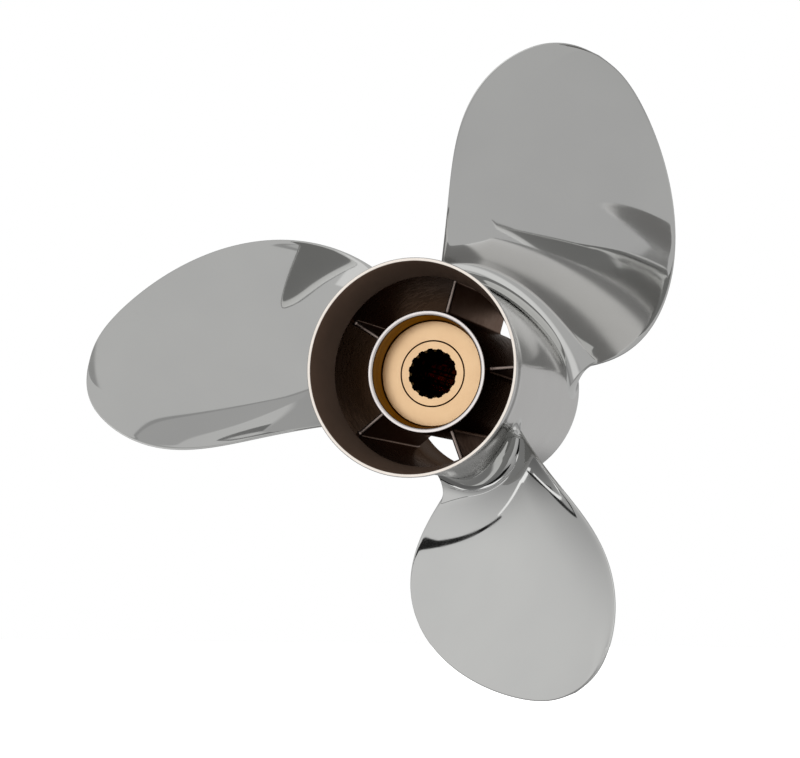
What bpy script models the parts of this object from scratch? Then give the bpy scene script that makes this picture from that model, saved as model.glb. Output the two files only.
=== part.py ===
"""Three-blade polished boat propeller whose exhaust leaves through the hub.

The shaft axis lies along Y. The open aft rim is in the plane Y = 0 and faces -Y,
the forward end of the hub is at +Y, and +Z is up. Angles about the shaft are
measured from +X towards -Z, which is clockwise for someone looking forward from
behind the propeller. The driving dimensions are in millimetres.
"""

import math

import bmesh
import bpy
from mathutils import Matrix, Vector

MM = 0.001
GAP = 0.3                         # clearance between pieces that touch

# Outer barrel: a flared diffuser ring aft, a taper that closes in at the front
BARREL_LENGTH = 141.0
RIM_RADIUS = 54.8
RIM_LIP = 1.7                     # width of the flat lip round the aft mouth
FLARE_LENGTH = 23.0
FLARE_NECK_RADIUS = 50.8          # outside radius where the flare ends
FRONT_RADIUS = 51.2
MOUTH_STEP_RADIUS = 48.3          # inside radius at the end of the flare
PASSAGE_RADIUS = 48.9             # outer wall of the exhaust passages
FRONT_TAPER_START = 122.0
FRONT_INNER_RADIUS = 44.2
BARREL_SEGMENTS = 72

# Inner tube that carries the bushing
TUBE_RADIUS = 31.3
TUBE_AFT = 25.0
TUBE_FRONT = 127.5
TUBE_MOUTH_RADIUS = 28.7
TUBE_BORE_RADIUS = 27.5
TUBE_SEAT_DEPTH = 10.0
TUBE_SEGMENTS = 72

# Bushing in two pieces: an outer sleeve and a splined inner sleeve
BUSHING_AFT = 36.3
BUSHING_FRONT = 118.0
GROOVE_RADIUS = 16.9              # thin ring groove between the two sleeves
GROOVE_WIDTH = 0.6
SPLINE_TIP_RADIUS = 11.4
SPLINE_ROOT_RADIUS = 13.0
SPLINE_COUNT = 15
SPLINE_FRONT = 122.0

# Ribs between the inner tube and the barrel
RIB_COUNT = 5
RIB_FIRST_ANGLE = 285.8
RIB_AFT = 32.5
RIB_FRONT = 127.0
RIB_AFT_THICKNESS = 2.4
RIB_FRONT_THICKNESS = 3.4

# Blades: values at five even stations from root to tip
BLADE_COUNT = 3
ROOT_RADIUS = 50.0
TIP_RADIUS = 177.6
HALF_WIDTH_DEG = (38.6, 36.8, 33.4, 28.0, 35.4)    # before the round tip is cut
MID_LINE_DEG = (-48.8, -46.0, -51.9, -56.4, -57.2)
PITCH = (404.0, 435.0, 407.0, 373.0, 359.0)
RAKE = (73.8, 47.7, 28.4, 11.9, -3.3)              # Y of the face at the datum angle
DATUM_DEG = -62.0
CUP_DEPTH = 3.0                   # how far the trailing edge curls aft
CUP_START = 0.6                   # part of the half width where the cup begins
CUP_FADE_DEG = 9.0                # below this half width the cup fades with it
ROOT_THICKNESS = 9.0
TIP_THICKNESS = 2.2
EDGE_THICKNESS = 1.4
EDGE_SHARPNESS = 80.0             # the higher, the tighter the round of the edges
FILLET_RADIUS = 8.0               # at the middle of each face
TRAIL_FILLET_RADIUS = 4.5         # round the trailing edge
LEAD_FILLET_RADIUS = 15.0         # round the leading edge
FILLET_STEPS = 4
FOOT_MARGIN = 1.0                 # kept between a fillet's foot and the front rim
BLADE_ROWS = 16
BLADE_COLUMNS = 18
EDGE_TURNS_DEG = (0.0, 30.0, 60.0)    # points round each half of an edge
LAST_ROW = 0.985                  # the tip ends in a short straight edge


def clear_scene():
    for old in list(bpy.data.objects):
        bpy.data.objects.remove(old, do_unlink=True)


def make_material(name, colour, metallic, roughness):
    material = bpy.data.materials.new(name)
    material.use_nodes = True
    shader = material.node_tree.nodes["Principled BSDF"]
    shader.inputs["Base Color"].default_value = (*colour, 1.0)
    shader.inputs["Metallic"].default_value = metallic
    shader.inputs["Roughness"].default_value = roughness
    return material


def polar(radius, angle, y):
    """A point in metres from a radius, an angle about the shaft and a depth."""
    return Vector((radius * math.cos(angle), y, -radius * math.sin(angle))) * MM


def add_object(name, points, faces, material, smooth_below=math.radians(35)):
    mesh = bpy.data.meshes.new(name)
    mesh.from_pydata([tuple(p) for p in points], [], faces)
    shape = bmesh.new()
    shape.from_mesh(mesh)
    bmesh.ops.recalc_face_normals(shape, faces=shape.faces)
    shape.to_mesh(mesh)
    shape.free()
    mesh.shade_smooth()
    mesh.set_sharp_from_angle(angle=smooth_below)
    mesh.materials.append(material)
    piece = bpy.data.objects.new(name, mesh)
    bpy.context.collection.objects.link(piece)
    return piece


def turned(name, profile, segments, material):
    """A closed (radius, y) profile turned once round the shaft."""
    points = []
    faces = []
    for i in range(segments):
        angle = 2.0 * math.pi * i / segments
        points += [polar(radius, angle, y) for radius, y in profile]
    count = len(profile)
    for i in range(segments):
        this = i * count
        after = (i + 1) % segments * count
        for j in range(count):
            k = (j + 1) % count
            faces.append((this + j, this + k, after + k, after + j))
    return add_object(name, points, faces, material)


def smooth_blend(low, high, part):
    part = min(max(part, 0.0), 1.0)
    return low + (high - low) * part * part * (3.0 - 2.0 * part)


def barrel_outside(y):
    """Outside radius of the barrel: the flare necks in, then the hub swells."""
    if y < FLARE_LENGTH:
        return smooth_blend(RIM_RADIUS, FLARE_NECK_RADIUS, y / FLARE_LENGTH)
    part = (y - FLARE_LENGTH) / (BARREL_LENGTH - FLARE_LENGTH)
    return FLARE_NECK_RADIUS + (FRONT_RADIUS - FLARE_NECK_RADIUS) * math.sin(part * math.pi / 2.0)


def barrel_inside(y):
    """Inside radius of the passages, which closes in at the front."""
    if y < FRONT_TAPER_START:
        return PASSAGE_RADIUS
    part = (y - FRONT_TAPER_START) / (BARREL_LENGTH - FRONT_TAPER_START)
    return smooth_blend(PASSAGE_RADIUS, FRONT_INNER_RADIUS, part)


def build_barrel(material):
    outside_steps = 9
    taper_steps = 3
    flare_steps = 2
    profile = []
    for i in range(outside_steps + 1):
        y = BARREL_LENGTH * (i / outside_steps) ** 1.3
        profile.append((barrel_outside(y), y))
    for i in range(taper_steps + 1):
        y = BARREL_LENGTH - (BARREL_LENGTH - FRONT_TAPER_START) * i / taper_steps
        profile.append((barrel_inside(y), y))
    profile.append((PASSAGE_RADIUS, FLARE_LENGTH + 1.0))
    for i in range(flare_steps + 1):
        part = 1.0 - i / flare_steps
        mouth = RIM_RADIUS - RIM_LIP
        profile.append((mouth + (MOUTH_STEP_RADIUS - mouth) * part, FLARE_LENGTH * part))
    return turned("outer_barrel", profile, BARREL_SEGMENTS, material)


def build_inner_tube(material):
    edge = 0.8
    seat = TUBE_AFT + TUBE_SEAT_DEPTH
    profile = [
        (TUBE_RADIUS - edge, TUBE_AFT),
        (TUBE_RADIUS, TUBE_AFT + edge),
        (TUBE_RADIUS, TUBE_FRONT),
        (TUBE_BORE_RADIUS, TUBE_FRONT),
        (TUBE_BORE_RADIUS, seat),
        (TUBE_MOUTH_RADIUS, TUBE_AFT + edge),
        (TUBE_MOUTH_RADIUS + edge / 2.0, TUBE_AFT),
    ]
    return turned("inner_tube", profile, TUBE_SEGMENTS, material)


def build_bushing(material):
    inner = GROOVE_RADIUS + GROOVE_WIDTH / 2.0
    outer = TUBE_BORE_RADIUS - GAP
    profile = [(outer, BUSHING_AFT), (outer, BUSHING_FRONT), (inner, BUSHING_FRONT), (inner, BUSHING_AFT)]
    return turned("bushing_sleeve", profile, TUBE_SEGMENTS, material)


def build_splined_sleeve(material):
    """A tube whose bore has straight teeth that stand inward."""
    outer = GROOVE_RADIUS - GROOVE_WIDTH / 2.0
    tooth_pattern = (
        (0.00, SPLINE_ROOT_RADIUS),
        (0.22, SPLINE_ROOT_RADIUS),
        (0.42, SPLINE_TIP_RADIUS),
        (0.58, SPLINE_TIP_RADIUS),
        (0.78, SPLINE_ROOT_RADIUS),
    )
    ring = []
    for tooth in range(SPLINE_COUNT):
        for part, radius in tooth_pattern:
            ring.append((2.0 * math.pi * (tooth + part) / SPLINE_COUNT, radius))
    points = []
    for angle, radius in ring:
        points.append(polar(outer, angle, BUSHING_AFT))
        points.append(polar(outer, angle, SPLINE_FRONT))
        points.append(polar(radius, angle, SPLINE_FRONT))
        points.append(polar(radius, angle, BUSHING_AFT))
    faces = []
    for i in range(len(ring)):
        this = i * 4
        after = (i + 1) % len(ring) * 4
        for j in range(4):
            k = (j + 1) % 4
            faces.append((this + j, this + k, after + k, after + j))
    return add_object("splined_sleeve", points, faces, material)


def build_rib(index, material):
    """A flat plate that thickens towards the front and follows the barrel's inside."""
    angle = math.radians(RIB_FIRST_ANGLE + 360.0 / RIB_COUNT * index)
    outward = polar(1.0, angle, 0.0) / MM
    sideways = polar(1.0, angle + math.pi / 2.0, 0.0) / MM
    foot = TUBE_RADIUS + GAP
    stations = [RIB_AFT, FRONT_TAPER_START]
    stations += [FRONT_TAPER_START + (RIB_FRONT - FRONT_TAPER_START) * i / 4.0 for i in range(1, 5)]
    points = []
    for y in stations:
        part = (y - RIB_AFT) / (RIB_FRONT - RIB_AFT)
        half = (RIB_AFT_THICKNESS + (RIB_FRONT_THICKNESS - RIB_AFT_THICKNESS) * part) / 2.0
        head = barrel_inside(y) - GAP - half * half / (2.0 * FRONT_INNER_RADIUS)
        for radius, side in ((foot, -half), (head, -half), (head, half), (foot, half)):
            points.append((outward * radius + sideways * side + Vector((0.0, y, 0.0))) * MM)
    faces = [(0, 1, 2, 3)]
    for i in range(len(stations) - 1):
        for j in range(4):
            k = (j + 1) % 4
            faces.append((i * 4 + j, i * 4 + k, i * 4 + 4 + k, i * 4 + 4 + j))
    last = (len(stations) - 1) * 4
    faces.append((last, last + 1, last + 2, last + 3))
    return add_object(f"rib_{index + 1}", points, faces, material)


def at_station(values, part):
    """The smooth curve through evenly spaced values, read at a part from 0 to 1."""
    last = len(values) - 1
    total = 0.0
    for i, value in enumerate(values):
        weight = 1.0
        for j in range(len(values)):
            if j != i:
                weight *= (part * last - j) / (i - j)
        total += value * weight
    return total


def blade_sheet(radius, angle):
    """Y of the blade's aft face at a radius and an angle, before the cup."""
    span = (radius - ROOT_RADIUS) / (TIP_RADIUS - ROOT_RADIUS)
    turn = (angle - math.radians(DATUM_DEG)) / (2.0 * math.pi)
    return at_station(RAKE, span) + at_station(PITCH, span) * turn


def sheet_point(row, side):
    """A point of the aft face; row 0 is the root, side -1 the trailing edge."""
    radius = ROOT_RADIUS + (TIP_RADIUS - ROOT_RADIUS) * math.sin(row * math.pi / 2.0)
    half = math.cos(row * math.pi / 2.0) * at_station(HALF_WIDTH_DEG, row)
    angle = math.radians(at_station(MID_LINE_DEG, row) + side * half)
    curl = max(-side - CUP_START, 0.0) / (1.0 - CUP_START)
    cup = CUP_DEPTH * min(half / CUP_FADE_DEG, 1.0) * curl * curl
    return polar(radius, angle, blade_sheet(radius, angle) - cup), radius, angle


def sheet_normal(radius, angle):
    """Unit vector that points forward out of the aft face."""
    step = 0.5
    rise = (blade_sheet(radius + step, angle) - blade_sheet(radius - step, angle)) / (2.0 * step)
    turn = step / radius
    slope = (blade_sheet(radius, angle + turn) - blade_sheet(radius, angle - turn)) / (2.0 * step)
    outward = polar(1.0, angle, 0.0) / MM
    onward = polar(1.0, angle + math.pi / 2.0, 0.0) / MM
    return (Vector((0.0, 1.0, 0.0)) - outward * rise - onward * slope).normalized()


def blade_point(row, side, is_forward):
    """A point of the finished blade: both faces meet in a round edge."""
    base, radius, angle = sheet_point(row, side)
    span = math.sin(row * math.pi / 2.0)
    middle = ROOT_THICKNESS + (TIP_THICKNESS - ROOT_THICKNESS) * span
    edge = EDGE_THICKNESS / 2.0
    round_off = math.sqrt(1.0 - abs(side) ** EDGE_SHARPNESS)
    if is_forward:
        offset = edge * (1.0 + round_off) + (middle - EDGE_THICKNESS) * (1.0 - side * side)
    else:
        offset = edge * (1.0 - round_off)
    return base + sheet_normal(radius, angle) * offset * MM


def across_stations():
    """Places across a face, -1 to 1: close together round both edges."""
    edge = [math.cos(math.radians(turn)) ** (2.0 / EDGE_SHARPNESS) for turn in EDGE_TURNS_DEG]
    middle = [-math.cos(math.pi * j / BLADE_COLUMNS) for j in range(2, BLADE_COLUMNS - 1)]
    return [-side for side in edge] + middle + edge[::-1]


def loop_stations():
    """Once round a section: aft face to the leading edge, forward face back again."""
    sides = across_stations()
    aft = [(side, False) for side in sides]
    forward = [(side, True) for side in reversed(sides[1:-1])]
    return aft + forward


def shaft_radius(point):
    return math.hypot(point.x, point.z) / MM


def on_barrel(angle, y, height):
    """A point that stands at a height above the barrel's outside."""
    return polar(barrel_outside(y) + height, angle, y)


def row_where(test):
    """The row, found by halving, up to which the test holds."""
    low, high = 0.0, 0.5
    for _ in range(26):
        row = (low + high) / 2.0
        if test(row):
            low = row
        else:
            high = row
    return (low + high) / 2.0


def root_corners(stations, height):
    """Where each line of the blade would run into the barrel: its row and its point."""
    corners = []
    for side, is_forward in stations:
        def is_sunk(row):
            point = blade_point(row, side, is_forward)
            y = min(max(point.y / MM, 0.0), BARREL_LENGTH)
            return shaft_radius(point) < barrel_outside(y) + height
        row = row_where(is_sunk)
        corners.append((row, blade_point(row, side, is_forward)))
    return corners


def flat_on_barrel(point):
    """Unrolled place of a point on the barrel: round the girth and along the shaft."""
    return Vector((math.atan2(-point.z, point.x) * FLARE_NECK_RADIUS, point.y / MM))


def fillet_column(corner_row, corner, station, outward, height):
    """Points from the fillet's foot on the barrel up to where it leaves the blade."""
    side, is_forward = station
    place = flat_on_barrel(corner)
    toward = place + outward
    foot_way = on_barrel(toward.x / FLARE_NECK_RADIUS, toward.y, height) - corner
    foot_way.normalize()
    up_way = (blade_point(corner_row + 0.02, side, is_forward) - corner).normalized()
    opening = up_way.angle(foot_way)
    edge_radius = LEAD_FILLET_RADIUS if side > 0.0 else TRAIL_FILLET_RADIUS
    round_radius = FILLET_RADIUS + (edge_radius - FILLET_RADIUS) * side ** 4
    reach = round_radius / math.tan(opening / 2.0)
    handle = 4.0 / 3.0 * math.tan((math.pi - opening) / 4.0) * round_radius
    foot_place = place + outward * reach
    foot_place.y = min(foot_place.y, BARREL_LENGTH - FOOT_MARGIN)
    foot = on_barrel(foot_place.x / FLARE_NECK_RADIUS, foot_place.y, height)
    inward_place = foot_place + (place - foot_place).normalized() * 0.5
    inward_way = on_barrel(inward_place.x / FLARE_NECK_RADIUS, inward_place.y, height) - foot

    def is_short(row):
        return (blade_point(row, side, is_forward) - corner).length < reach * MM

    top_row = row_where(is_short)
    top = blade_point(top_row, side, is_forward)
    foot_handle = foot + inward_way.normalized() * handle * MM
    top_handle = top + (corner - top).normalized() * handle * MM
    points = []
    for step in range(1, FILLET_STEPS + 1):
        u = step / FILLET_STEPS
        v = 1.0 - u
        points.append(foot * v ** 3 + foot_handle * 3 * v * v * u + top_handle * 3 * v * u * u + top * u ** 3)
    return foot, points, top_row


def outward_ways(corners):
    """Ways along the barrel, away from the root; they fan evenly round both edges."""
    places = [flat_on_barrel(corner) for _row, corner in corners]
    ways = []
    for k in range(len(places)):
        along = places[(k + 1) % len(places)] - places[k - 1]
        ways.append(Vector((along.y, -along.x)).normalized())
    reach = len(EDGE_TURNS_DEG)
    for edge in (0, len(ways) // 2):
        start = ways[edge - reach]
        turn = start.angle_signed(ways[edge + reach])
        for step in range(1, 2 * reach):
            bent = -turn * step / (2 * reach)
            ways[edge - reach + step] = Matrix.Rotation(bent, 2) @ start
    return ways


def blade_columns(height):
    """For each line round the blade: its foot, its fillet and its free points."""
    stations = loop_stations()
    corners = root_corners(stations, height)
    columns = []
    for station, corner, outward in zip(stations, corners, outward_ways(corners)):
        foot, fillet, top_row = fillet_column(*corner, station, outward, height)
        free = []
        for i in range(1, BLADE_ROWS + 1):
            free_row = top_row + (LAST_ROW - top_row) * i / BLADE_ROWS
            free.append(blade_point(free_row, *station))
        columns.append((foot, fillet + free))
    return columns


def build_blade_mesh(name, material):
    """The first blade: a curved root cap, the fillet, the two faces and a tip cap."""
    foot_wall = 0.5
    columns = blade_columns(GAP)
    loop = len(columns)
    across = loop // 2
    points = []
    for foot, _rest in columns:
        points.append(foot)
    for foot, _rest in columns:
        angle = math.atan2(-foot.z, foot.x)
        points.append(on_barrel(angle, foot.y / MM, GAP + foot_wall))
    rows = len(columns[0][1])
    for i in range(rows):
        points += [rest[i] for _foot, rest in columns]
    faces = []
    for i in range(rows + 1):
        for j in range(loop):
            k = (j + 1) % loop
            faces.append((i * loop + j, i * loop + k, (i + 1) * loop + k, (i + 1) * loop + j))
    # the root cap bends with the barrel, so it has points between its two long sides
    cap_steps = 5
    grid = [[0]]
    for j in range(1, across):
        near, far = points[j], points[loop - j]
        line = [j]
        for step in range(1, cap_steps):
            middle = near.lerp(far, step / cap_steps)
            line.append(len(points))
            points.append(on_barrel(math.atan2(-middle.z, middle.x), middle.y / MM, GAP))
        line.append(loop - j)
        grid.append(line)
    grid.append([across])
    for line, following in zip(grid, grid[1:]):
        faces += strip_between(line, following)
    tip = (rows + 1) * loop
    faces.append((tip, tip + 1, tip + loop - 1))
    for j in range(1, across - 1):
        faces.append((tip + j, tip + j + 1, tip + loop - 1 - j, tip + loop - j))
    faces.append((tip + across - 1, tip + across, tip + across + 1))
    return add_object(name, points, faces, material)


def strip_between(line, following):
    """Faces between two rows of points, either of which may be a single point."""
    if len(line) == 1:
        return [(line[0], following[i], following[i + 1]) for i in range(len(following) - 1)]
    if len(following) == 1:
        return [(line[i], following[0], line[i + 1]) for i in range(len(line) - 1)]
    return [(line[i], following[i], following[i + 1], line[i + 1]) for i in range(len(line) - 1)]


def build_blades(material):
    first = build_blade_mesh("blade_1", material)
    for index in range(1, BLADE_COUNT):
        blade = bpy.data.objects.new(f"blade_{index + 1}", first.data)
        blade.rotation_euler = (0.0, 2.0 * math.pi / BLADE_COUNT * index, 0.0)
        bpy.context.collection.objects.link(blade)


def main():
    clear_scene()
    polished = make_material("polished_steel", (0.62, 0.62, 0.60), 1.0, 0.08)
    ground = make_material("ground_steel", (0.42, 0.39, 0.37), 1.0, 0.30)
    bright = make_material("bright_steel", (0.70, 0.69, 0.72), 1.0, 0.20)
    gold = make_material("gold_bushing", (0.80, 0.55, 0.28), 1.0, 0.32)
    build_barrel(polished)
    build_inner_tube(bright)
    build_bushing(gold)
    build_splined_sleeve(gold)
    for index in range(RIB_COUNT):
        build_rib(index, ground)
    build_blades(polished)


main()
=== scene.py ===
"""Looks of a three-blade polished boat propeller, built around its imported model.

The shaft axis lies along Y, the open aft rim is in the plane Y = 0 and faces -Y,
and +Z is up. Angles about the shaft are measured from +X towards -Z, which is
clockwise for someone looking forward from behind. Sizes are in millimetres and
repeat those of the model.
"""

import math

import bmesh
import bpy
from mathutils import Matrix, Vector


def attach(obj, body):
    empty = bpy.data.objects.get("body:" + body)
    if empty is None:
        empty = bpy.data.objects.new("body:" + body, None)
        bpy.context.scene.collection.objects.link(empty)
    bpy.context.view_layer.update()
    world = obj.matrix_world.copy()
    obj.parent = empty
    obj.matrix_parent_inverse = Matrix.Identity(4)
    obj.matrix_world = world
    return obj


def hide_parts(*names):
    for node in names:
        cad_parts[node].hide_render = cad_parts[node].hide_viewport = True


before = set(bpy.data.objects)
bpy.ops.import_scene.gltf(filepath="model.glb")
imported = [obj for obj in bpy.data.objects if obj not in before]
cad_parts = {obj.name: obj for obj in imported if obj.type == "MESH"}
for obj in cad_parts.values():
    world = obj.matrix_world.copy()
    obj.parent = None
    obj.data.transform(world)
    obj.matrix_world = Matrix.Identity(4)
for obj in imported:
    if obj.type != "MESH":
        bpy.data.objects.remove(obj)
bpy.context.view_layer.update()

MM = 0.001

# Outer barrel
BARREL_LENGTH = 141.0
RIM_RADIUS = 54.8
RIM_LIP = 1.7
RIM_ROUND = 0.5
FLARE_LENGTH = 23.0
FLARE_NECK_RADIUS = 50.8
FRONT_RADIUS = 51.2
MOUTH_STEP_RADIUS = 48.3
MOUTH_STEP = 1.0
MOUTH_ROUND = 0.3
PASSAGE_RADIUS = 48.9
PASSAGE_ROUND = 0.2
FRONT_TAPER_START = 122.0
FRONT_INNER_RADIUS = 44.2

# Inner tube and bushing
TUBE_RADIUS = 31.3
TUBE_AFT = 25.0
TUBE_FRONT = 127.5
TUBE_MOUTH_RADIUS = 28.7
TUBE_BORE_RADIUS = 27.5
TUBE_SEAT_DEPTH = 10.0
TUBE_EDGE_ROUND = 0.7
TUBE_MOUTH_ROUND = 1.6
TUBE_FRONT_ROUND = 0.5
TUBE_SEAT_ROUND = 0.2
BUSHING_AFT = 36.3
BUSHING_FRONT = 118.0
BUSHING_GAP = 0.3
BUSHING_ROUND = 0.5
GROOVE_RADIUS = 16.9
GROOVE_WIDTH = 0.6
GROOVE_ROUND = 0.15
SPLINE_TIP_RADIUS = 11.4
SPLINE_ROOT_RADIUS = 13.0
SPLINE_COUNT = 15
SPLINE_FRONT = 122.0
SPLINE_BEVEL = 0.7
SPLINE_MOUTH_CUT = 0.5
SPLINE_FLANK_START = 0.20         # in parts of the tooth pitch, from the root's middle
SPLINE_FLANK_END = 0.40

# Ribs
RIB_COUNT = 5
RIB_FIRST_ANGLE = 285.8
RIB_AFT = 32.5
RIB_FRONT = 127.0
RIB_AFT_THICKNESS = 2.4
RIB_FRONT_THICKNESS = 3.4
RIB_FILLET = 1.2
RIB_SINK = 0.1                    # how far a rib runs into the walls it joins

# Blades
BLADE_COUNT = 3
ROOT_RADIUS = 50.0
TIP_RADIUS = 177.6
HALF_WIDTH_DEG = (38.6, 36.8, 33.4, 28.0, 35.4)
MID_LINE_DEG = (-48.8, -46.0, -51.9, -56.4, -57.2)
PITCH = (404.0, 435.0, 407.0, 373.0, 359.0)
RAKE = (73.8, 47.7, 28.4, 11.9, -3.3)
DATUM_DEG = -62.0
CUP_DEPTH = 3.0
CUP_START = 0.6
CUP_FADE_DEG = 9.0
ROOT_THICKNESS = 9.0
TIP_THICKNESS = 2.2
EDGE_THICKNESS = 1.4
EDGE_SHARPNESS = 80.0
FILLET_RADIUS = 8.0
TRAIL_FILLET_RADIUS = 4.5
LEAD_FILLET_RADIUS = 15.0
FOOT_MARGIN = 1.0

# Fineness of the visible meshes
ROUND_SEGMENTS = 288
ROUND_STEPS = 5
OUTSIDE_STEPS = 44
TAPER_STEPS = 12
FLARE_STEPS = 8
SPLINE_STEPS = 24
RIB_HEIGHT_STEPS = 36
RIB_EDGE_STEPS = 8
RIB_DEPTH_STEPS = 40
BLADE_ROWS = 72
BLADE_COLUMNS = 100
EDGE_STEPS = 8
FILLET_STEPS = 14
LAST_ROW = 0.996
DRAW_IN = 0.2                     # keeps the fine outline inside the model's coarser one
SKIRT = 1.2                       # how far a blade's skirt runs on under the hub
SKIRT_DEPTH = 0.05
HALVINGS = 24                     # how often the search for a row halves its range
SHARP_DEG = 32.0                  # edges that bend by more than this stay sharp
RIB_SHARP_DEG = 60.0
BLADE_SHARP_DEG = 75.0

# Camera and floor, in metres, and the lens and frame in millimetres
CAMERA_PLACE = (0.32515, -0.97943, -0.10130)
CAMERA_TARGET = (-0.0049, -0.0011, -0.0059)
CAMERA_NEAR = 0.01
CAMERA_LENS = 94.35
CAMERA_FRAME = 36.0
FLOOR_Z = -0.19
FLOOR_HALF = 1.5

# Materials
PAINTED_SHADE_EDGE = (0.50, 0.41, 0.36)    # what the inner walls reflect at a grazing angle, dimmed to brown as painted shade
PATTERN_LOW = 0.3                 # the range that a noise or ring pattern mostly fills
PATTERN_HIGH = 0.7

# Surroundings: the level between the lights, then for each soft light or shade its
# azimuth, elevation, inner reach and outer reach in degrees, and its level
AMBIENT = 0.46
SOFT_LIGHTS = (
    (0.0, -90.0, 42.0, 60.0, 0.58),
    (-16.0, 8.0, 20.0, 38.0, 1.15),
    (35.0, 38.0, 12.0, 52.0, 0.67),
    (84.0, -18.0, 12.0, 28.0, 0.90),
    (188.0, 0.0, 55.0, 70.0, 0.33),
    (158.0, -8.0, 14.0, 24.0, 0.57),
    (-88.0, 32.0, 14.0, 48.0, 0.80),
    (-142.0, -22.0, 18.0, 34.0, 0.15),
    (-22.0, 79.0, 15.0, 18.0, 0.66),
    (43.3, 76.0, 12.0, 12.6, 0.49),
    (16.0, 60.0, 9.0, 10.0, 0.49),
    (68.1, 43.0, 35.3, 35.7, 0.38),
    (68.1, 43.0, 34.4, 34.8, 0.64),
)
# Thin strips: azimuth and elevation of the start and of the end, the width at each,
# and the level
STRIPS = (
    ((-106.8, 48.0), (-108.8, 37.0), 3.6, 1.7, 0.02),
    ((-108.8, 37.0), (-113.8, 13.0), 1.7, 1.1, 0.02),
    ((-115.0, 13.0), (-119.0, 2.0), 0.8, 1.6, 1.2),
    ((-119.0, 2.0), (-124.0, -3.0), 1.6, 1.6, 1.2),
    ((-123.0, -2.0), (-113.0, -7.0), 1.0, 2.0, 0.02),
    ((-113.0, -7.0), (-101.0, -8.9), 2.0, 0.8, 0.02),
    ((-121.0, -4.0), (-108.0, -8.7), 0.8, 1.2, 1.2),
    ((-113.5, -17.0), (-114.2, -10.5), 5.0, 3.0, 1.2),
    ((-115.5, -17.0), (-109.0, -31.0), 5.0, 7.0, 0.01),
    ((73.6, 5.0), (74.0, 19.0), 5.0, 4.0, 0.92),
    ((-50.0, 80.5), (-130.0, 81.0), 1.0, 3.5, 0.22),
)
# The same for reflections that have already met the part once
SECOND_AMBIENT = 0.95
SECOND_LIGHTS = (
    (-8.5, 0.0, 86.4, 87.8, 0.33),
    (174.3, 0.0, 81.5, 83.5, 0.33),
)
SECOND_STRIPS = (
    ((-45.0, -61.7), (0.0, -69.0), 9.0, 9.0, 0.95),
)
SECOND_DEPTH = 2.5                # ray depth is 2 in a first reflection, 3 in a second
STRIP_END_FADE = 0.8              # in degrees
STRIP_SIDE_FADE = 0.25


def polar(radius, angle, y):
    """A point in metres from a radius, an angle about the shaft and a depth."""
    return Vector((radius * math.cos(angle), y, -radius * math.sin(angle))) * MM


def smooth_blend(low, high, part):
    """From low to high as the part goes from 0 to 1, level at both ends."""
    part = min(max(part, 0.0), 1.0)
    return low + (high - low) * part * part * (3.0 - 2.0 * part)


def add_piece(name, points, faces, materials, nodes, sharp_deg=SHARP_DEG, pick=None):
    """A mesh that rides on the part; pick tells each face's material from its middle."""
    mesh = bpy.data.meshes.new(name)
    mesh.from_pydata([tuple(p) for p in points], [], faces)
    shape = bmesh.new()
    shape.from_mesh(mesh)
    bmesh.ops.recalc_face_normals(shape, faces=shape.faces)
    shape.to_mesh(mesh)
    shape.free()
    mesh.shade_smooth()
    mesh.set_sharp_from_angle(angle=math.radians(sharp_deg))
    for material in materials:
        mesh.materials.append(material)
    if pick:
        for face in mesh.polygons:
            middle = face.center / MM
            face.material_index = pick(math.hypot(middle.x, middle.z), middle.y)
    piece = bpy.data.objects.new(name, mesh)
    bpy.context.collection.objects.link(piece)
    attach(piece, "root")
    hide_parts(*nodes)


def round_corners(corners):
    """A closed (radius, y) outline whose corners get the round that each names."""
    outline = []
    for i, (radius, y, round_radius) in enumerate(corners):
        here = Vector((radius, y))
        if round_radius <= 0.0:
            outline.append(here)
            continue
        before = Vector(corners[i - 1][:2]) - here
        after = Vector(corners[(i + 1) % len(corners)][:2]) - here
        before.normalize()
        after.normalize()
        half = before.angle(after) / 2.0
        trim = round_radius / math.tan(half)
        centre = here + (before + after).normalized() * round_radius / math.sin(half)
        start = here + before * trim - centre
        turn = start.angle_signed(here + after * trim - centre)
        for step in range(ROUND_STEPS + 1):
            outline.append(centre + Matrix.Rotation(-turn * step / ROUND_STEPS, 2) @ start)
    return outline


def ring_faces(steps, count):
    """Faces between closed outlines of count points that go once round the shaft."""
    faces = []
    for i in range(steps):
        this = i * count
        after = (i + 1) % steps * count
        for j in range(count):
            k = (j + 1) % count
            faces.append((this + j, this + k, after + k, after + j))
    return faces


def turned(name, corners, materials, nodes, pick=None):
    """A piece whose closed outline is turned once round the shaft."""
    outline = round_corners(corners)
    points = []
    for i in range(ROUND_SEGMENTS):
        angle = 2.0 * math.pi * i / ROUND_SEGMENTS
        points += [polar(radius, angle, y) for radius, y in outline]
    faces = ring_faces(ROUND_SEGMENTS, len(outline))
    add_piece(name, points, faces, materials, nodes, pick=pick)


def barrel_outside(y):
    """Outside radius of the barrel: the flare necks in, then the hub swells."""
    if y < FLARE_LENGTH:
        return smooth_blend(RIM_RADIUS, FLARE_NECK_RADIUS, y / FLARE_LENGTH)
    part = (y - FLARE_LENGTH) / (BARREL_LENGTH - FLARE_LENGTH)
    swell = FRONT_RADIUS - FLARE_NECK_RADIUS
    return FLARE_NECK_RADIUS + swell * math.sin(part * math.pi / 2.0)


def barrel_inside(y):
    """Inside radius of the passages, which closes in at the front."""
    if y < FRONT_TAPER_START:
        return PASSAGE_RADIUS
    part = (y - FRONT_TAPER_START) / (BARREL_LENGTH - FRONT_TAPER_START)
    return smooth_blend(PASSAGE_RADIUS, FRONT_INNER_RADIUS, part)


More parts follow.
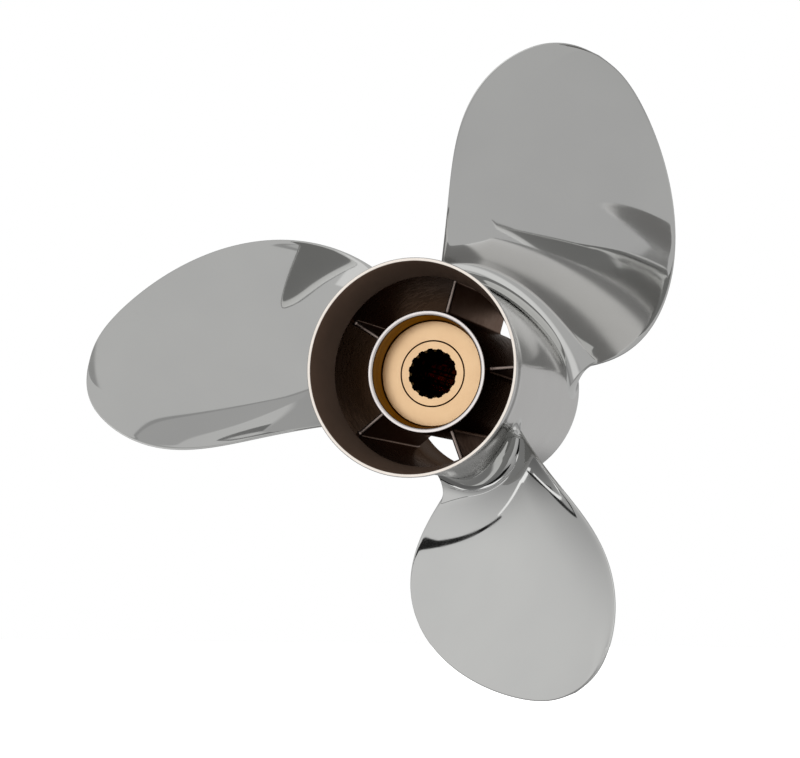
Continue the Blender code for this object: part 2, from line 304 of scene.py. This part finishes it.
def barrel_zone(radius, y):
    """0 outside, 1 on the lip of the rim, 2 in the flare, 3 in the passages, which get painted
    shade.
    """
    wall = 1.5
    rim_wall = 0.45
    lip_depth = 0.25
    margin = 0.3
    depth = barrel_outside(y) - radius
    if y > FLARE_LENGTH + margin:
        return 3 if depth > wall and y < BARREL_LENGTH - margin else 0
    if depth < rim_wall:
        return 0
    return 1 if y < lip_depth else 2


def build_barrel(materials):
    """The hollow hub: outside from aft to front, then the passage wall and the flare."""
    mouth = RIM_RADIUS - RIM_LIP
    corners = []
    for i in range(OUTSIDE_STEPS + 1):
        y = BARREL_LENGTH * i / OUTSIDE_STEPS
        at_end = i in (0, OUTSIDE_STEPS)
        corners.append((barrel_outside(y), y, RIM_ROUND if at_end else 0.0))
    for i in range(TAPER_STEPS + 1):
        y = BARREL_LENGTH - (BARREL_LENGTH - FRONT_TAPER_START) * i / TAPER_STEPS
        corners.append((barrel_inside(y), y, RIM_ROUND if i == 0 else 0.0))
    corners.append((PASSAGE_RADIUS, FLARE_LENGTH + MOUTH_STEP, PASSAGE_ROUND))
    for i in range(FLARE_STEPS + 1):
        part = 1.0 - i / FLARE_STEPS
        radius = mouth + (MOUTH_STEP_RADIUS - mouth) * part
        at_end = i in (0, FLARE_STEPS)
        corners.append((radius, FLARE_LENGTH * part, MOUTH_ROUND if at_end else 0.0))
    turned("hub_barrel", corners, materials, ["outer_barrel"], barrel_zone)


def tube_zone(radius, y):
    """0 on the rim of the mouth, 1 outside and in front, 2 on the wall inside the mouth, which
    gets a painted reflection of the bushing.
    """
    wall = 1.0
    if y < TUBE_AFT + TUBE_EDGE_ROUND:
        return 0
    return 2 if radius < TUBE_RADIUS - wall and y < BUSHING_AFT else 1


def build_inner_tube(materials):
    """The tube round the shaft, whose mouth opens out a little."""
    seat = TUBE_AFT + TUBE_SEAT_DEPTH
    corners = [
        (TUBE_RADIUS, TUBE_AFT, TUBE_EDGE_ROUND),
        (TUBE_RADIUS, TUBE_FRONT, TUBE_FRONT_ROUND),
        (TUBE_BORE_RADIUS, TUBE_FRONT, TUBE_FRONT_ROUND),
        (TUBE_BORE_RADIUS, BUSHING_AFT, 0.0),
        (TUBE_BORE_RADIUS, seat, TUBE_SEAT_ROUND),
        (TUBE_MOUTH_RADIUS, TUBE_AFT, TUBE_MOUTH_ROUND),
    ]
    turned("shaft_tube", corners, materials, ["inner_tube"], tube_zone)


def build_bushing(material):
    """The bushing's outer ring, from the tube in to the groove in its face."""
    outer = TUBE_BORE_RADIUS - BUSHING_GAP
    inner = GROOVE_RADIUS + GROOVE_WIDTH / 2.0
    corners = [
        (outer, BUSHING_AFT, BUSHING_ROUND),
        (outer, BUSHING_FRONT, BUSHING_ROUND),
        (inner, BUSHING_FRONT, GROOVE_ROUND),
        (inner, BUSHING_AFT, GROOVE_ROUND),
    ]
    turned("bushing_ring", corners, [material], ["bushing_sleeve"])


def spline_radius(part):
    """Bore radius across one tooth pitch, from a root through the tip and back."""
    along = min(part, 1.0 - part) - SPLINE_FLANK_START
    drop = smooth_blend(0.0, 1.0, along / (SPLINE_FLANK_END - SPLINE_FLANK_START))
    return SPLINE_ROOT_RADIUS - (SPLINE_ROOT_RADIUS - SPLINE_TIP_RADIUS) * drop


def bore_zone(radius, y):
    """0 on the face, 1 in the bore, which gets painted shade."""
    margin = 0.1
    return 1 if radius < SPLINE_ROOT_RADIUS + margin and y > BUSHING_AFT + margin else 0


def build_splined_sleeve(materials):
    """A tube whose bore has teeth that stand inward, with a bevelled mouth."""
    outer = GROOVE_RADIUS - GROOVE_WIDTH / 2.0
    points = []
    steps = SPLINE_COUNT * SPLINE_STEPS
    for i in range(steps):
        angle = 2.0 * math.pi * i / steps
        bore = spline_radius(i % SPLINE_STEPS / SPLINE_STEPS)
        mouth = max(bore, SPLINE_ROOT_RADIUS - SPLINE_MOUTH_CUT)
        section = (
            (outer - GROOVE_ROUND, BUSHING_AFT),
            (outer, BUSHING_AFT + GROOVE_ROUND),
            (outer, SPLINE_FRONT),
            (bore, SPLINE_FRONT),
            (bore, BUSHING_AFT + SPLINE_BEVEL),
            (mouth, BUSHING_AFT),
        )
        points += [polar(radius, angle, y) for radius, y in section]
    faces = ring_faces(steps, len(section))
    nodes = ["splined_sleeve"]
    add_piece("splined_ring", points, faces, materials, nodes, pick=bore_zone)


def fillet_flare(distance):
    """How far a round fillet stands out at a distance from the wall it runs into."""
    if distance >= RIB_FILLET:
        return 0.0
    return RIB_FILLET - math.sqrt(RIB_FILLET ** 2 - (RIB_FILLET - distance) ** 2)


def rib_point(outward, sideways, y_part, height_part, side):
    """A point on a rib's face; the fillets and the round aft edge are in its formula."""
    rough_y = RIB_AFT + (RIB_FRONT - RIB_AFT) * y_part
    inside = barrel_inside(rough_y)
    span = inside - TUBE_RADIUS
    height = span * height_part
    flare = fillet_flare(height) + fillet_flare(span - height)
    aft = RIB_AFT - flare
    y = aft + (RIB_FRONT - aft) * y_part
    half = (RIB_AFT_THICKNESS + (RIB_FRONT_THICKNESS - RIB_AFT_THICKNESS) * y_part) / 2.0
    from_edge = min((y - aft) / half, 1.0)
    roundness = math.sqrt(1.0 - (1.0 - from_edge) ** 2)
    shift = side * (half + flare) * roundness
    low = math.sqrt(TUBE_RADIUS ** 2 - shift ** 2) - RIB_SINK
    high = math.sqrt(barrel_inside(y) ** 2 - shift ** 2) + RIB_SINK
    radius = low + (high - low) * height_part
    return (outward * radius + sideways * shift + Vector((0.0, y, 0.0))) * MM


def rib_parts():
    """Parts of a rib's length: close together round its aft edge, then even."""
    edge_part = RIB_AFT_THICKNESS / 2.0 / (RIB_FRONT - RIB_AFT)
    rest = 1.0 - edge_part
    turns = [math.pi / 2.0 * i / RIB_EDGE_STEPS for i in range(RIB_EDGE_STEPS + 1)]
    edge = [edge_part * (1.0 - math.cos(turn)) for turn in turns]
    even = [edge_part + rest * i / RIB_DEPTH_STEPS for i in range(1, RIB_DEPTH_STEPS + 1)]
    return edge + even


def rib_heights():
    """Parts of a rib's height: close together at the fillets."""
    turns = [math.pi * j / RIB_HEIGHT_STEPS for j in range(RIB_HEIGHT_STEPS + 1)]
    return [(1.0 - math.cos(turn)) / 2.0 for turn in turns]


def build_rib(index, material):
    """A plate between tube and barrel, filleted into both, with a round aft edge."""
    angle = math.radians(RIB_FIRST_ANGLE + 360.0 / RIB_COUNT * index)
    outward = polar(1.0, angle, 0.0) / MM
    sideways = polar(1.0, angle + math.pi / 2.0, 0.0) / MM
    parts = rib_parts()
    heights = rib_heights()
    points = []
    for part in parts:
        points += [rib_point(outward, sideways, part, high, 1.0) for high in heights]
        points += [rib_point(outward, sideways, part, high, -1.0) for high in heights[::-1]]
    ring = 2 * len(heights)
    faces = []
    for i in range(len(parts) - 1):
        for j in range(ring):
            k = (j + 1) % ring
            faces.append((i * ring + j, i * ring + k, (i + 1) * ring + k, (i + 1) * ring + j))
    last = (len(parts) - 1) * ring
    for j in range(RIB_HEIGHT_STEPS):
        faces.append((last + j, last + j + 1, last + ring - 2 - j, last + ring - 1 - j))
    name = f"rib_plate_{index + 1}"
    nodes = [f"rib_{index + 1}"]
    add_piece(name, points, faces, [material], nodes, RIB_SHARP_DEG)


def at_station(values, part):
    """The smooth curve through evenly spaced values, read at a part from 0 to 1."""
    last = len(values) - 1
    total = 0.0
    for i, value in enumerate(values):
        weight = 1.0
        for j in range(len(values)):
            if j != i:
                weight *= (part * last - j) / (i - j)
        total += value * weight
    return total


def blade_sheet(radius, angle):
    """Y of the blade's aft face at a radius and an angle, before the cup."""
    span = (radius - ROOT_RADIUS) / (TIP_RADIUS - ROOT_RADIUS)
    turn = (angle - math.radians(DATUM_DEG)) / (2.0 * math.pi)
    return at_station(RAKE, span) + at_station(PITCH, span) * turn


def sheet_point(row, side):
    """A point of the aft face; row 0 is the root, side -1 the trailing edge."""
    radius = ROOT_RADIUS + (TIP_RADIUS - DRAW_IN - ROOT_RADIUS) * math.sin(row * math.pi / 2.0)
    half = math.cos(row * math.pi / 2.0) * at_station(HALF_WIDTH_DEG, row)
    half -= math.degrees(DRAW_IN / radius)
    angle = math.radians(at_station(MID_LINE_DEG, row) + side * half)
    curl = max(-side - CUP_START, 0.0) / (1.0 - CUP_START)
    cup = CUP_DEPTH * min(half / CUP_FADE_DEG, 1.0) * curl * curl
    return polar(radius, angle, blade_sheet(radius, angle) - cup), radius, angle


def sheet_normal(radius, angle):
    """Unit vector that points forward out of the aft face."""
    step = 0.5
    rise = (blade_sheet(radius + step, angle) - blade_sheet(radius - step, angle)) / (2.0 * step)
    turn = step / radius
    slope = (blade_sheet(radius, angle + turn) - blade_sheet(radius, angle - turn)) / (2.0 * step)
    outward = polar(1.0, angle, 0.0) / MM
    onward = polar(1.0, angle + math.pi / 2.0, 0.0) / MM
    return (Vector((0.0, 1.0, 0.0)) - outward * rise - onward * slope).normalized()


def blade_point(row, side, is_forward):
    """A point of the finished blade: both faces meet in a round edge."""
    base, radius, angle = sheet_point(row, side)
    span = math.sin(row * math.pi / 2.0)
    middle = ROOT_THICKNESS + (TIP_THICKNESS - ROOT_THICKNESS) * span
    edge = EDGE_THICKNESS / 2.0
    round_off = math.sqrt(1.0 - abs(side) ** EDGE_SHARPNESS)
    if is_forward:
        offset = edge * (1.0 + round_off) + (middle - EDGE_THICKNESS) * (1.0 - side * side)
    else:
        offset = edge * (1.0 - round_off)
    return base + sheet_normal(radius, angle) * offset * MM


def across_stations():
    """Places across a face, -1 to 1: close together round both edges."""
    edge_gap = 0.003
    turns = [math.pi / 2.0 * i / (EDGE_STEPS + 1) for i in range(EDGE_STEPS + 1)]
    edge = [math.cos(turn) ** (2.0 / EDGE_SHARPNESS) for turn in turns]
    even = [-math.cos(math.pi * j / BLADE_COLUMNS) for j in range(BLADE_COLUMNS + 1)]
    middle = [side for side in even if abs(side) < edge[-1] - edge_gap]
    return [-side for side in edge] + middle + edge[::-1]


def loop_stations():
    """Once round a section: aft face to the leading edge, forward face back again."""
    sides = across_stations()
    aft = [(side, False) for side in sides]
    forward = [(side, True) for side in reversed(sides[1:-1])]
    return aft + forward


def on_barrel(angle, y, height):
    """A point that stands at a height above the barrel's outside."""
    return polar(barrel_outside(y) + height, angle, y)


def row_where(test):
    """The row, found by halving in the blade's inner part, up to which the test holds."""
    low = 0.0
    high = 0.5
    for _ in range(HALVINGS):
        row = (low + high) / 2.0
        if test(row):
            low = row
        else:
            high = row
    return (low + high) / 2.0


def root_corners(stations):
    """Where each line of the blade would run into the barrel: its row and its point."""
    corners = []
    for side, is_forward in stations:
        def is_sunk(row):
            point = blade_point(row, side, is_forward)
            y = min(max(point.y / MM, 0.0), BARREL_LENGTH)
            return math.hypot(point.x, point.z) / MM < barrel_outside(y)
        row = row_where(is_sunk)
        corners.append((row, blade_point(row, side, is_forward)))
    return corners


def flat_on_barrel(point):
    """Unrolled place of a point on the barrel: round the girth and along the shaft."""
    return Vector((math.atan2(-point.z, point.x) * FLARE_NECK_RADIUS, point.y / MM))


def folded_on_barrel(place, height):
    """The point on the barrel that an unrolled place stands for."""
    return on_barrel(place.x / FLARE_NECK_RADIUS, place.y, height)


def outward_ways(corners):
    """Ways along the barrel, away from the root; they fan evenly round both edges."""
    places = [flat_on_barrel(corner) for _row, corner in corners]
    ways = []
    for k in range(len(places)):
        along = places[(k + 1) % len(places)] - places[k - 1]
        ways.append(Vector((along.y, -along.x)).normalized())
    reach = EDGE_STEPS + 1
    for edge in (0, len(ways) // 2):
        start = ways[edge - reach]
        turn = start.angle_signed(ways[edge + reach])
        for step in range(1, 2 * reach):
            bent = -turn * step / (2 * reach)
            ways[edge - reach + step] = Matrix.Rotation(bent, 2) @ start
    return ways


def fillet_size(side, opening):
    """How far a fillet reaches from its corner, and the length of its curve's handles."""
    edge_radius = LEAD_FILLET_RADIUS if side > 0.0 else TRAIL_FILLET_RADIUS
    round_radius = FILLET_RADIUS + (edge_radius - FILLET_RADIUS) * side ** 4
    reach = round_radius / math.tan(opening / 2.0)
    handle = 4.0 / 3.0 * math.tan((math.pi - opening) / 4.0) * round_radius
    return reach, handle


def fillet_curve(foot, foot_handle, top_handle, top):
    """Points of the fillet's round, from the barrel up to the blade."""
    points = []
    for step in range(FILLET_STEPS + 1):
        u = step / FILLET_STEPS
        v = 1.0 - u
        low = foot * v ** 3 + foot_handle * 3 * v * v * u
        points.append(low + top_handle * 3 * v * u * u + top * u ** 3)
    return points


def fillet_column(corner_row, corner, station, outward):
    """From a skirt under the barrel up the fillet to where it leaves the blade."""
    row_step = 0.02
    inward_step = 0.5
    side, is_forward = station
    place = flat_on_barrel(corner)
    foot_way = (folded_on_barrel(place + outward, 0.0) - corner).normalized()
    up_way = (blade_point(corner_row + row_step, side, is_forward) - corner).normalized()
    reach, handle = fillet_size(side, up_way.angle(foot_way))
    foot_place = place + outward * reach
    foot_place.y = min(foot_place.y, BARREL_LENGTH - FOOT_MARGIN)
    foot = folded_on_barrel(foot_place, 0.0)
    inward = (place - foot_place).normalized()
    inward_way = folded_on_barrel(foot_place + inward * inward_step, 0.0) - foot
    skirt_place = foot_place - inward * SKIRT
    skirt_place.y = min(skirt_place.y, BARREL_LENGTH - FOOT_MARGIN / 2.0)
    skirt = folded_on_barrel(skirt_place, -SKIRT_DEPTH)

    def is_short(row):
        return (blade_point(row, side, is_forward) - corner).length < reach * MM

    top_row = row_where(is_short)
    top = blade_point(top_row, side, is_forward)
    foot_handle = foot + inward_way.normalized() * handle * MM
    top_handle = top + (corner - top).normalized() * handle * MM
    return [skirt] + fillet_curve(foot, foot_handle, top_handle, top), top_row


def blade_columns():
    """For each line round the blade: all its points from the skirt to the tip."""
    stations = loop_stations()
    corners = root_corners(stations)
    columns = []
    for station, corner, outward in zip(stations, corners, outward_ways(corners)):
        line, top_row = fillet_column(*corner, station, outward)
        for i in range(1, BLADE_ROWS + 1):
            row = top_row + (LAST_ROW - top_row) * i / BLADE_ROWS
            line.append(blade_point(row, *station))
        columns.append(line)
    return columns


def blade_mesh():
    """Points and faces of the first blade, open only where it sinks into the hub."""
    columns = blade_columns()
    loop = len(columns)
    rows = len(columns[0])
    points = [columns[j][i] for i in range(rows) for j in range(loop)]
    faces = []
    for i in range(rows - 1):
        for j in range(loop):
            k = (j + 1) % loop
            faces.append((i * loop + j, i * loop + k, (i + 1) * loop + k, (i + 1) * loop + j))
    tip = (rows - 1) * loop
    across = loop // 2
    faces.append((tip, tip + 1, tip + loop - 1))
    for j in range(1, across - 1):
        faces.append((tip + j, tip + j + 1, tip + loop - 1 - j, tip + loop - j))
    faces.append((tip + across - 1, tip + across, tip + across + 1))
    return points, faces


def build_blades(material):
    """The three blades: one shape, turned about the shaft."""
    points, faces = blade_mesh()
    for index in range(BLADE_COUNT):
        turn = Matrix.Rotation(2.0 * math.pi / BLADE_COUNT * index, 3, "Y")
        moved = [turn @ point for point in points]
        name = f"blade_skin_{index + 1}"
        nodes = [f"blade_{index + 1}"]
        add_piece(name, moved, faces, [material], nodes, BLADE_SHARP_DEG)


class Paint:
    """A metal material; edge is the tint of what it reflects at a grazing angle."""

    def __init__(self, name, edge=(1.0, 1.0, 1.0), metallic=1.0):
        self.material = bpy.data.materials.new(name)
        self.material.use_nodes = True
        tree = self.material.node_tree
        self.nodes = tree.nodes
        self.links = tree.links
        self.shader = tree.nodes["Principled BSDF"]
        self.shader.inputs["Metallic"].default_value = metallic
        self.shader.inputs["Specular Tint"].default_value = (*edge, 1.0)
        self.place = tree.nodes.new("ShaderNodeTexCoord").outputs["Object"]

    def noise(self, scale, detail=3.0):
        """A cloudy pattern; a larger scale makes it finer."""
        node = self.nodes.new("ShaderNodeTexNoise")
        node.inputs["Scale"].default_value = scale
        node.inputs["Detail"].default_value = detail
        self.links.new(self.place, node.inputs["Vector"])
        return node.outputs["Fac"]

    def turning(self, scale, distortion=1.5, detail=3.0):
        """Fine rings round the shaft, as a lathe or a polishing wheel leaves."""
        node = self.nodes.new("ShaderNodeTexWave")
        node.wave_type = "RINGS"
        node.rings_direction = "Y"
        node.inputs["Scale"].default_value = scale
        node.inputs["Distortion"].default_value = distortion
        node.inputs["Detail"].default_value = detail
        self.links.new(self.place, node.inputs["Vector"])
        return node.outputs["Fac"]

    def colours(self, pattern, low, high):
        """Two colours that follow a pattern, and their middle for a view without patterns."""
        middle = [(a + b) / 2.0 for a, b in zip(low, high)]
        self.shader.inputs["Base Color"].default_value = (*middle, 1.0)
        ramp = self.nodes.new("ShaderNodeValToRGB")
        ramp.color_ramp.elements[0].position = PATTERN_LOW
        ramp.color_ramp.elements[1].position = PATTERN_HIGH
        ramp.color_ramp.elements[0].color = (*low, 1.0)
        ramp.color_ramp.elements[1].color = (*high, 1.0)
        self.links.new(pattern, ramp.inputs["Fac"])
        self.links.new(ramp.outputs["Color"], self.shader.inputs["Base Color"])

    def roughness(self, pattern, low, high):
        """A roughness that follows a pattern, and its middle for a view without patterns."""
        self.shader.inputs["Roughness"].default_value = (low + high) / 2.0
        reach = self.nodes.new("ShaderNodeMapRange")
        reach.inputs["From Min"].default_value = PATTERN_LOW
        reach.inputs["From Max"].default_value = PATTERN_HIGH
        reach.inputs["To Min"].default_value = low
        reach.inputs["To Max"].default_value = high
        self.links.new(pattern, reach.inputs["Value"])
        self.links.new(reach.outputs["Result"], self.shader.inputs["Roughness"])

    def bump(self, pattern, depth):
        """Raises the pattern by a depth in millimetres."""
        node = self.nodes.new("ShaderNodeBump")
        node.inputs["Distance"].default_value = depth * MM
        self.links.new(pattern, node.inputs["Height"])
        self.links.new(node.outputs["Normal"], self.shader.inputs["Normal"])


def polished_steel():
    """Mirror-bright steel of the blades, with the slight waves that polishing leaves."""
    paint = Paint("polished_steel")
    paint.colours(paint.noise(scale=14.0), low=(0.60, 0.60, 0.59), high=(0.64, 0.64, 0.625))
    paint.roughness(paint.noise(scale=60.0), low=0.02, high=0.05)
    paint.bump(paint.noise(scale=22.0, detail=1.0), depth=0.03)
    return paint.material


def hub_steel():
    """The hub's outside, polished less finely than the blades."""
    paint = Paint("hub_steel")
    paint.colours(paint.noise(scale=14.0), low=(0.585, 0.575, 0.56), high=(0.62, 0.61, 0.60))
    paint.roughness(paint.noise(scale=60.0), low=0.12, high=0.18)
    return paint.material


def rim_lip():
    """The flat aft face of the rim, turned bright."""
    paint = Paint("rim_lip")
    paint.colours(paint.noise(scale=120.0), low=(0.85, 0.78, 0.71), high=(0.91, 0.84, 0.77))
    paint.roughness(paint.turning(scale=500.0), low=0.32, high=0.40)
    return paint.material


def flare_steel():
    """The flare inside the rim, browned by the exhaust."""
    paint = Paint("flare_steel", edge=PAINTED_SHADE_EDGE, metallic=0.5)
    paint.colours(paint.noise(scale=30.0), low=(0.20, 0.135, 0.10), high=(0.26, 0.175, 0.13))
    paint.roughness(paint.noise(scale=90.0), low=0.32, high=0.40)
    return paint.material


def passage_painted_shade():
    """Rough walls of the exhaust passages, dark brown with the passages' shade painted into the
    colour.
    """
    paint = Paint("passage_painted_shade", edge=PAINTED_SHADE_EDGE)
    grain = paint.noise(scale=260.0, detail=4.0)
    paint.colours(paint.noise(scale=24.0), low=(0.10, 0.072, 0.058), high=(0.16, 0.125, 0.105))
    paint.roughness(grain, low=0.22, high=0.36)
    paint.bump(grain, depth=0.08)
    return paint.material


def cast_steel():
    """The ribs: unpolished, a little lighter than the walls."""
    paint = Paint("cast_steel", edge=PAINTED_SHADE_EDGE)
    grain = paint.noise(scale=300.0, detail=4.0)
    paint.colours(paint.noise(scale=40.0), low=(0.26, 0.20, 0.175), high=(0.34, 0.28, 0.25))
    paint.roughness(grain, low=0.28, high=0.40)
    paint.bump(grain, depth=0.06)
    return paint.material


def tube_steel():
    """The bright rim of the tube's mouth."""
    paint = Paint("tube_steel")
    paint.colours(paint.noise(scale=70.0), low=(0.77, 0.72, 0.70), high=(0.83, 0.78, 0.76))
    paint.roughness(paint.turning(scale=420.0), low=0.24, high=0.32)
    return paint.material


def tube_lining_painted_reflection():
    """The wall inside the tube's mouth, coloured dark gold as a painted reflection of the brass
    bushing.
    """
    paint = Paint("tube_lining_painted_reflection", edge=(0.6, 0.4, 0.15))
    paint.colours(paint.noise(scale=50.0), low=(0.39, 0.24, 0.08), high=(0.49, 0.32, 0.12))
    paint.roughness(paint.turning(scale=420.0), low=0.24, high=0.36)
    return paint.material


def bushing_brass():
    """The bushing's matt faces, with the rings that turning leaves."""
    paint = Paint("bushing_brass")
    paint.colours(paint.noise(scale=90.0), low=(0.86, 0.585, 0.34), high=(0.92, 0.64, 0.38))
    rings = paint.turning(scale=700.0)
    paint.roughness(rings, low=0.36, high=0.46)
    paint.bump(rings, depth=0.01)
    return paint.material


def bore_painted_shade():
    """The teeth of the bore: brass darkened to near black as painted shade in the deep bore."""
    paint = Paint("bore_painted_shade", edge=(0.20, 0.12, 0.05))
    paint.colours(paint.noise(scale=200.0), low=(0.03, 0.016, 0.005), high=(0.16, 0.095, 0.034))
    paint.roughness(paint.noise(scale=400.0), low=0.2, high=0.36)
    return paint.material


def build_camera():
    """A camera that looks at the part from aft, starboard and a little below."""
    camera = bpy.data.cameras.new("camera")
    camera.lens = CAMERA_LENS
    camera.sensor_width = CAMERA_FRAME
    camera.clip_start = CAMERA_NEAR
    holder = bpy.data.objects.new("camera", camera)
    holder.location = CAMERA_PLACE
    way = Vector(CAMERA_TARGET) - Vector(CAMERA_PLACE)
    holder.rotation_euler = way.to_track_quat("-Z", "Y").to_euler()
    bpy.context.collection.objects.link(holder)
    bpy.context.scene.camera = holder


def direction(azimuth_deg, elevation_deg):
    """Unit vector; azimuth 0 is aft, -Y, and 90 is +X."""
    azimuth = math.radians(azimuth_deg)
    elevation = math.radians(elevation_deg)
    flat = math.cos(elevation)
    return Vector((flat * math.sin(azimuth), -flat * math.cos(azimuth), math.sin(elevation)))


def reach_mask(tree, way, centre, inner_deg, outer_deg):
    """1 within the inner angle from a direction, fading to 0 at the outer angle."""
    dot = tree.nodes.new("ShaderNodeVectorMath")
    dot.operation = "DOT_PRODUCT"
    dot.inputs[1].default_value = centre
    tree.links.new(way, dot.inputs[0])
    fade = tree.nodes.new("ShaderNodeMapRange")
    fade.interpolation_type = "SMOOTHSTEP"
    fade.inputs["From Min"].default_value = math.cos(math.radians(outer_deg))
    fade.inputs["From Max"].default_value = math.cos(math.radians(inner_deg))
    tree.links.new(dot.outputs["Value"], fade.inputs["Value"])
    return fade.outputs["Result"]


def both(tree, first, second):
    """A mask where two masks overlap."""
    product = tree.nodes.new("ShaderNodeMath")
    product.operation = "MULTIPLY"
    tree.links.new(first, product.inputs[0])
    tree.links.new(second, product.inputs[1])
    return product.outputs["Value"]


def strip_mask(tree, way, start, end, start_width_deg, end_width_deg):
    """1 along a tapered strip of sky between two directions, 0 elsewhere."""
    side = start.cross(end).normalized()
    middle = (start + end).normalized()
    reach = math.degrees(start.angle(end)) / 2.0
    mask = reach_mask(tree, way, middle, reach, reach + STRIP_END_FADE)
    for sign in (1.0, -1.0):
        first = start + side * sign * math.tan(math.radians(start_width_deg) / 2.0)
        last = end + side * sign * math.tan(math.radians(end_width_deg) / 2.0)
        inward = -sign * first.cross(last).normalized()
        within = reach_mask(tree, way, inward, 90.0 - STRIP_SIDE_FADE, 90.0)
        mask = both(tree, mask, within)
    return mask


def lay_over(tree, under, mask, level):
    """A grey level laid over a sky wherever the mask is 1."""
    mix = tree.nodes.new("ShaderNodeMix")
    mix.data_type = "RGBA"
    tree.links.new(under, mix.inputs["A"])
    mix.inputs["B"].default_value = (level, level, level, 1.0)
    tree.links.new(mask, mix.inputs["Factor"])
    return mix.outputs["Result"]


def painted_sky(tree, way, ambient, lights, strips):
    """The ambient level with the soft lights, and then the strips, laid over it."""
    base = tree.nodes.new("ShaderNodeRGB")
    base.outputs["Color"].default_value = (ambient, ambient, ambient, 1.0)
    sky = base.outputs["Color"]
    for azimuth, elevation, inner, outer, level in lights:
        mask = reach_mask(tree, way, direction(azimuth, elevation), inner, outer)
        sky = lay_over(tree, sky, mask, level)
    for start, end, start_width, end_width, level in strips:
        mask = strip_mask(tree, way, direction(*start), direction(*end), start_width, end_width)
        sky = lay_over(tree, sky, mask, level)
    return sky


def studio_sky(tree, way, path):
    """The sky that a first reflection shows, and the plainer one of later ones."""
    later = tree.nodes.new("ShaderNodeMath")
    later.operation = "GREATER_THAN"
    later.inputs[1].default_value = SECOND_DEPTH
    tree.links.new(path.outputs["Ray Depth"], later.inputs[0])
    mix = tree.nodes.new("ShaderNodeMix")
    mix.data_type = "RGBA"
    first = painted_sky(tree, way, AMBIENT, SOFT_LIGHTS, STRIPS)
    second = painted_sky(tree, way, SECOND_AMBIENT, SECOND_LIGHTS, SECOND_STRIPS)
    tree.links.new(later.outputs["Value"], mix.inputs["Factor"])
    tree.links.new(first, mix.inputs["A"])
    tree.links.new(second, mix.inputs["B"])
    return mix.outputs["Result"]


def build_world():
    """A backdrop that the camera sees as white, and the part as a pale studio."""
    world = bpy.data.worlds.new("studio")
    world.use_nodes = True
    bpy.context.scene.world = world
    tree = world.node_tree
    seen = tree.nodes["Background"]
    seen.inputs["Color"].default_value = (1.0, 1.0, 1.0, 1.0)
    way = tree.nodes.new("ShaderNodeTexCoord").outputs["Generated"]
    lit = tree.nodes.new("ShaderNodeBackground")
    path = tree.nodes.new("ShaderNodeLightPath")
    tree.links.new(studio_sky(tree, way, path), lit.inputs["Color"])
    mix = tree.nodes.new("ShaderNodeMixShader")
    tree.links.new(path.outputs["Is Camera Ray"], mix.inputs["Fac"])
    tree.links.new(lit.outputs["Background"], mix.inputs[1])
    tree.links.new(seen.outputs["Background"], mix.inputs[2])
    tree.links.new(mix.outputs["Shader"], tree.nodes["World Output"].inputs["Surface"])
    bpy.context.scene.view_settings.view_transform = "Standard"


def build_floor():
    """A plain white floor under the lowest blade."""
    mesh = bpy.data.meshes.new("floor")
    signs = [(-1.0, -1.0), (1.0, -1.0), (1.0, 1.0), (-1.0, 1.0)]
    corners = [(x * FLOOR_HALF, y * FLOOR_HALF, FLOOR_Z) for x, y in signs]
    mesh.from_pydata(corners, [], [(0, 1, 2, 3)])
    material = bpy.data.materials.new("floor")
    material.use_nodes = True
    shader = material.node_tree.nodes["Principled BSDF"]
    shader.inputs["Base Color"].default_value = (0.9, 0.9, 0.9, 1.0)
    shader.inputs["Roughness"].default_value = 1.0
    shader.inputs["Emission Color"].default_value = (1.0, 1.0, 1.0, 1.0)
    shader.inputs["Emission Strength"].default_value = 1.0
    mesh.materials.append(material)
    floor = bpy.data.objects.new("floor", mesh)
    floor.visible_glossy = False
    floor.visible_diffuse = False
    bpy.context.collection.objects.link(floor)


def main():
    """Builds every piece, and then the floor, the camera and the surroundings."""
    steel = polished_steel()
    passage = passage_painted_shade()
    brass = bushing_brass()
    cast = cast_steel()
    build_barrel([hub_steel(), rim_lip(), flare_steel(), passage])
    build_inner_tube([tube_steel(), passage, tube_lining_painted_reflection()])
    build_bushing(brass)
    build_splined_sleeve([brass, bore_painted_shade()])
    for index in range(RIB_COUNT):
        build_rib(index, cast)
    build_blades(steel)
    build_floor()
    build_camera()
    build_world()


main()
